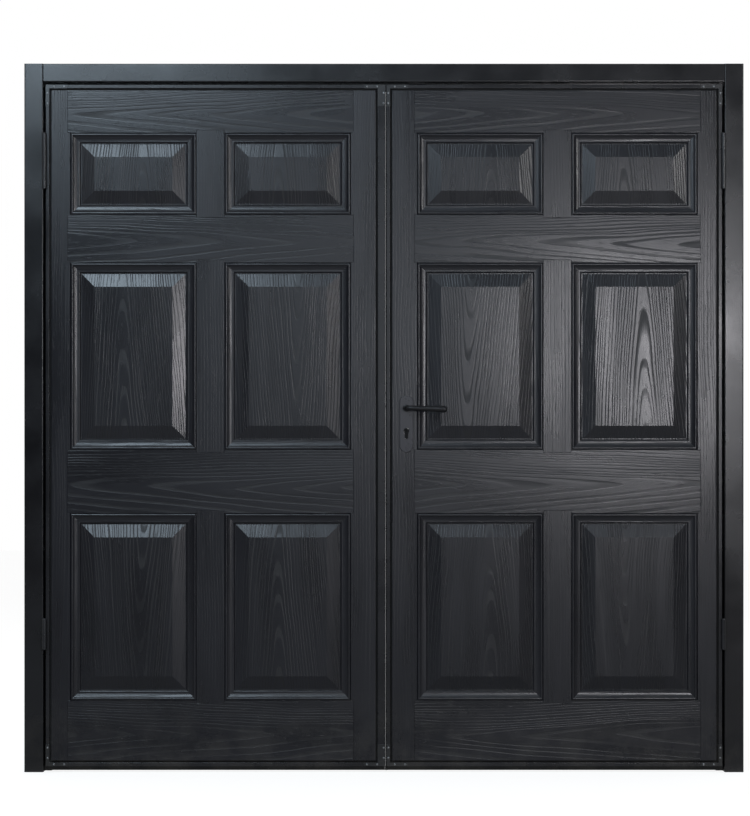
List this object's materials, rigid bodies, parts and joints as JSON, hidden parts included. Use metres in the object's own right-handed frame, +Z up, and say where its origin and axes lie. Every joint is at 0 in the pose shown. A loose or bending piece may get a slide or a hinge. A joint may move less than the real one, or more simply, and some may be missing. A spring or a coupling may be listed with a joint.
{
  "type": "double garage door",
  "caption": "Double side-hinged garage door with moulded wood-grain panels, a steel box-section frame, a lever lock and shoot bolts.",
  "frame": {"origin": "on the floor, midway between the posts and at the middle of the leaves' depth", "axes": "+X to the right seen from outside, +Y inward through the door, +Z up"},
  "size_m": [2.254, 0.1488, 2.22],
  "materials": {
    "frame_steel": "satin powder coat",
    "chassis_steel": "satin powder coat",
    "cleat_steel": "satin powder coat",
    "hinge_steel": "satin powder coat",
    "grained_skin": "satin, wood-grain relief",
    "seal_rubber": "matt",
    "black_plastic": "matt",
    "black_furniture": "satin powder coat",
    "cylinder_metal": "satin nickel",
    "zinc_steel": "zinc plated"
  },
  "bodies": {
    "frame": {"left_post": "frame_steel", "right_post": "frame_steel", "head_rail": "frame_steel", "head_stop": "frame_steel", "head_brackets": "zinc_steel", "post_foot_plugs": "black_plastic", "post_top_caps": "black_plastic", "side_seals": "seal_rubber", "head_seal": "seal_rubber", "head_keeps": "zinc_steel", "left_hinge_lower_halves": "hinge_steel", "right_hinge_lower_halves": "hinge_steel"},
    "left_leaf": {"left_hinge_stile": "chassis_steel", "left_meeting_stile": "chassis_steel", "left_top_rail": "chassis_steel", "left_bottom_rail": "chassis_steel", "left_corner_cleats": "cleat_steel", "left_panel": "grained_skin", "left_panel_gasket": "seal_rubber", "left_braces": "zinc_steel", "left_bottom_seal": "seal_rubber", "left_hinge_upper_halves": "hinge_steel", "strike_keep": "zinc_steel", "top_bolt_guide": "zinc_steel", "bottom_bolt_guide": "zinc_steel"},
    "right_leaf": {"right_hinge_stile": "chassis_steel", "right_meeting_stile": "chassis_steel", "right_top_rail": "chassis_steel", "right_bottom_rail": "chassis_steel", "right_corner_cleats": "cleat_steel", "right_panel": "grained_skin", "right_panel_gasket": "seal_rubber", "right_braces": "zinc_steel", "right_bottom_seal": "seal_rubber", "right_hinge_upper_halves": "hinge_steel", "meeting_seal": "seal_rubber", "lock_case": "zinc_steel", "lock_case_cover": "zinc_steel", "lock_forend": "zinc_steel", "lock_packer": "black_plastic", "rod_guides": "black_plastic", "outer_backplate": "black_furniture", "inner_backplate": "black_furniture", "cylinder_body": "cylinder_metal", "cylinder_screw": "zinc_steel"},
    "lever_set": {"outer_lever": "black_furniture", "inner_lever": "black_furniture", "spindle": "zinc_steel", "lock_pinion": "zinc_steel"},
    "centre_bolt": {"centre_bolt": "zinc_steel"},
    "top_rod": {"top_rod": "zinc_steel"},
    "bottom_rod": {"bottom_rod": "zinc_steel"},
    "cylinder_plug": {"cylinder_plugs": "cylinder_metal", "cylinder_cam": "cylinder_metal"},
    "top_shoot_bolt": {"top_shoot_bolt": "zinc_steel"},
    "bottom_shoot_bolt": {"bottom_shoot_bolt": "zinc_steel"}
  },
  "joints": [
    {"name": "left_leaf_hinge", "type": "hinge", "parent": "frame", "child": "left_leaf", "pos_m": [-1.0635, -0.03, 1.05], "axis": [0, 0, -1], "range_deg": [0, 95]},
    {"name": "right_leaf_hinge", "type": "hinge", "parent": "frame", "child": "right_leaf", "pos_m": [1.0635, -0.03, 1.05], "axis": [0, 0, 1], "range_deg": [0, 95]},
    {"name": "lever_turn", "type": "hinge", "parent": "right_leaf", "child": "lever_set", "pos_m": [0.0705, 0, 1.141], "axis": [0, -1, 0], "range_deg": [0, 45]},
    {"name": "centre_bolt_slide", "type": "slide", "parent": "right_leaf", "child": "centre_bolt", "axis": [-1, 0, 0], "range_m": [0, 0.01886]},
    {"name": "top_rod_slide", "type": "slide", "parent": "right_leaf", "child": "top_rod", "axis": [0, 0, 1], "range_m": [0, 0.01886]},
    {"name": "bottom_rod_slide", "type": "slide", "parent": "right_leaf", "child": "bottom_rod", "axis": [0, 0, -1], "range_m": [0, 0.01886]},
    {"name": "cylinder_turn", "type": "hinge", "parent": "right_leaf", "child": "cylinder_plug", "pos_m": [0.0705, 0.009, 1.069], "axis": [0, -1, 0], "continuous": true},
    {"name": "top_shoot_bolt_slide", "type": "slide", "parent": "left_leaf", "child": "top_shoot_bolt", "axis": [0, 0, 1], "range_m": [0, 0.03]},
    {"name": "bottom_shoot_bolt_slide", "type": "slide", "parent": "left_leaf", "child": "bottom_shoot_bolt", "axis": [0, 0, -1], "range_m": [0, 0.03]}
  ],
  "couplings": [
    {"joint": "centre_bolt_slide", "follows": "lever_turn", "m_per_rad": 0.024},
    {"joint": "top_rod_slide", "follows": "lever_turn", "m_per_rad": 0.024},
    {"joint": "bottom_rod_slide", "follows": "lever_turn", "m_per_rad": 0.024}
  ]
}
